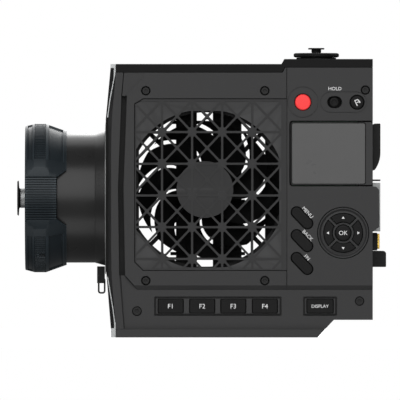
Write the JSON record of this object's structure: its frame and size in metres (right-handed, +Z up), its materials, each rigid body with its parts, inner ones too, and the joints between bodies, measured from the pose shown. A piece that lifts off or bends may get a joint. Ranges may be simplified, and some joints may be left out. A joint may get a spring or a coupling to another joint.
{
  "type": "digital cinema camera with through-flow cooling",
  "caption": "Box camera with a breech-lock lens mount, a fan duct behind a triangular lattice grille, side screen, direction pad, record button and function keys",
  "frame": {"origin": "on the underside of the base plate, midway along and across the body without its mount and battery end", "axes": "+Z up, -X towards the lens, -Y towards the control side, where the operator stands"},
  "size_m": [0.1855, 0.1127, 0.1452],
  "materials": {
    "side_panel": "charcoal anodised aluminium, fine bead-blasted satin",
    "dark_plate": "black anodised aluminium, satin",
    "silver_plate": "clear anodised aluminium, satin",
    "mount_tube": "black satin, smooth turned",
    "lock_ring": "blue-black hard anodised, fine ribs",
    "moulding": "black moulded, fine grain",
    "key_cap": "black key cap, satin",
    "fan_plastic": "black moulded, semi-matt",
    "record_red": "red key cap, satin gloss",
    "screen": "dark grey cover glass, switched off",
    "optic": "clear coated filter",
    "circuit": "green solder mask",
    "contact_gold": "gold plated",
    "heat_black": "black anodised, matt",
    "fastener": "blackened steel"
  },
  "bodies": {
    "camera_body": {"chassis": "side_panel", "top_plate": "dark_plate", "base_plate": "side_panel", "rear_plate": "dark_plate", "front_inlay_plate": "silver_plate", "front_cover": "dark_plate", "fan_side_cover": "side_panel", "control_panel": "side_panel", "right_cover": "side_panel", "left_grille": "side_panel", "right_grille": "side_panel", "fan_frame": "fan_plastic", "heat_sink": "heat_black", "lens_barrel": "mount_tube", "flange_ring": "silver_plate", "tether_post": "moulding", "sensor_housing": "heat_black", "sensor_glass": "optic", "sensor_board": "circuit", "main_board": "circuit", "pad_bezel": "side_panel", "function_bezel": "side_panel", "display_bezel": "side_panel", "screen_housing": "side_panel", "screen_glass": "screen", "cover_screw_1": "fastener", "cover_screw_2": "fastener", "cover_screw_3": "fastener", "cover_screw_4": "fastener", "stud_base": "dark_plate", "accessory_stud": "dark_plate", "wedge_receiver": "silver_plate", "guide_plate": "dark_plate", "contact_block": "moulding", "contact_blades": "contact_gold", "socket_block": "moulding"},
    "fan_rotor": {"fan_rotor": "fan_plastic"},
    "lock_ring": {"lens_lock_ring": "lock_ring"},
    "port_cap": {"port_cap": "moulding", "port_cap_knob": "moulding"},
    "tether_ring": {"tether_ring": "fastener"},
    "stud_wheel": {"stud_lock_wheel": "dark_plate"},
    "battery_latch": {"battery_latch": "moulding"},
    "port_cover": {"port_cover": "moulding"},
    "hold_switch": {"hold_switch": "key_cap"},
    "record_button": {"record_button": "record_red"},
    "marker_button": {"marker_button": "key_cap"},
    "menu_button": {"menu_button": "key_cap"},
    "back_button": {"back_button": "key_cap"},
    "fn_button": {"fn_button": "key_cap"},
    "right_key": {"right_key": "key_cap"},
    "up_key": {"up_key": "key_cap"},
    "left_key": {"left_key": "key_cap"},
    "down_key": {"down_key": "key_cap"},
    "ok_button": {"ok_button": "key_cap"},
    "f1_key": {"f1_key": "key_cap"},
    "f2_key": {"f2_key": "key_cap"},
    "f3_key": {"f3_key": "key_cap"},
    "f4_key": {"f4_key": "key_cap"},
    "display_key": {"display_key": "key_cap"}
  },
  "joints": [
    {"name": "fan_spin", "type": "hinge", "parent": "camera_body", "child": "fan_rotor", "pos_m": [-0.0193, -0.042, 0.0741], "axis": [0, 1, 0], "continuous": true},
    {"name": "lock_ring_turn", "type": "hinge", "parent": "camera_body", "child": "lock_ring", "pos_m": [-0.1, 0, 0.0697], "axis": [-1, 0, 0], "range_deg": [0, 42]},
    {"name": "port_cap_pull", "type": "slide", "parent": "camera_body", "child": "port_cap", "axis": [-1, 0, 0], "range_m": [0, 0.04]},
    {"name": "tether_ring_swing", "type": "hinge", "parent": "camera_body", "child": "tether_ring", "pos_m": [-0.0716, 0, 0.028], "axis": [0, 1, 0], "range_deg": [0, 80]},
    {"name": "stud_wheel_turn", "type": "hinge", "parent": "camera_body", "child": "stud_wheel", "pos_m": [0.03635, 0, 0.1415], "axis": [0, 0, 1], "continuous": true},
    {"name": "battery_latch_press", "type": "slide", "parent": "camera_body", "child": "battery_latch", "axis": [0, 0, -1], "range_m": [0, 0.004], "stiffness_N_per_m": 600},
    {"name": "port_cover_open", "type": "hinge", "parent": "camera_body", "child": "port_cover", "pos_m": [0.06525, 0, 0.1062], "axis": [0, -1, 0], "range_deg": [0, 85]},
    {"name": "hold_switch_slide", "type": "slide", "parent": "camera_body", "child": "hold_switch", "axis": [1, 0, 0], "range_m": [-0.0007, 0.001]},
    {"name": "record_button_press", "type": "slide", "parent": "camera_body", "child": "record_button", "axis": [0, 1, 0], "range_m": [0, 0.0008], "stiffness_N_per_m": 700},
    {"name": "marker_button_press", "type": "slide", "parent": "camera_body", "child": "marker_button", "axis": [0, 1, 0], "range_m": [0, 0.0008], "stiffness_N_per_m": 700},
    {"name": "menu_button_press", "type": "slide", "parent": "camera_body", "child": "menu_button", "axis": [0, 1, 0], "range_m": [0, 0.0008], "stiffness_N_per_m": 700},
    {"name": "back_button_press", "type": "slide", "parent": "camera_body", "child": "back_button", "axis": [0, 1, 0], "range_m": [0, 0.0008], "stiffness_N_per_m": 700},
    {"name": "fn_button_press", "type": "slide", "parent": "camera_body", "child": "fn_button", "axis": [0, 1, 0], "range_m": [0, 0.0008], "stiffness_N_per_m": 700},
    {"name": "right_key_press", "type": "slide", "parent": "camera_body", "child": "right_key", "axis": [0, 1, 0], "range_m": [0, 0.0008], "stiffness_N_per_m": 700},
    {"name": "up_key_press", "type": "slide", "parent": "camera_body", "child": "up_key", "axis": [0, 1, 0], "range_m": [0, 0.0008], "stiffness_N_per_m": 700},
    {"name": "left_key_press", "type": "slide", "parent": "camera_body", "child": "left_key", "axis": [0, 1, 0], "range_m": [0, 0.0008], "stiffness_N_per_m": 700},
    {"name": "down_key_press", "type": "slide", "parent": "camera_body", "child": "down_key", "axis": [0, 1, 0], "range_m": [0, 0.0008], "stiffness_N_per_m": 700},
    {"name": "ok_button_press", "type": "slide", "parent": "camera_body", "child": "ok_button", "axis": [0, 1, 0], "range_m": [0, 0.0008], "stiffness_N_per_m": 700},
    {"name": "f1_key_press", "type": "slide", "parent": "camera_body", "child": "f1_key", "axis": [0, 1, 0], "range_m": [0, 0.0006], "stiffness_N_per_m": 700},
    {"name": "f2_key_press", "type": "slide", "parent": "camera_body", "child": "f2_key", "axis": [0, 1, 0], "range_m": [0, 0.0006], "stiffness_N_per_m": 700},
    {"name": "f3_key_press", "type": "slide", "parent": "camera_body", "child": "f3_key", "axis": [0, 1, 0], "range_m": [0, 0.0006], "stiffness_N_per_m": 700},
    {"name": "f4_key_press", "type": "slide", "parent": "camera_body", "child": "f4_key", "axis": [0, 1, 0], "range_m": [0, 0.0006], "stiffness_N_per_m": 700},
    {"name": "display_key_press", "type": "slide", "parent": "camera_body", "child": "display_key", "axis": [0, 1, 0], "range_m": [0, 0.0006], "stiffness_N_per_m": 700}
  ]
}
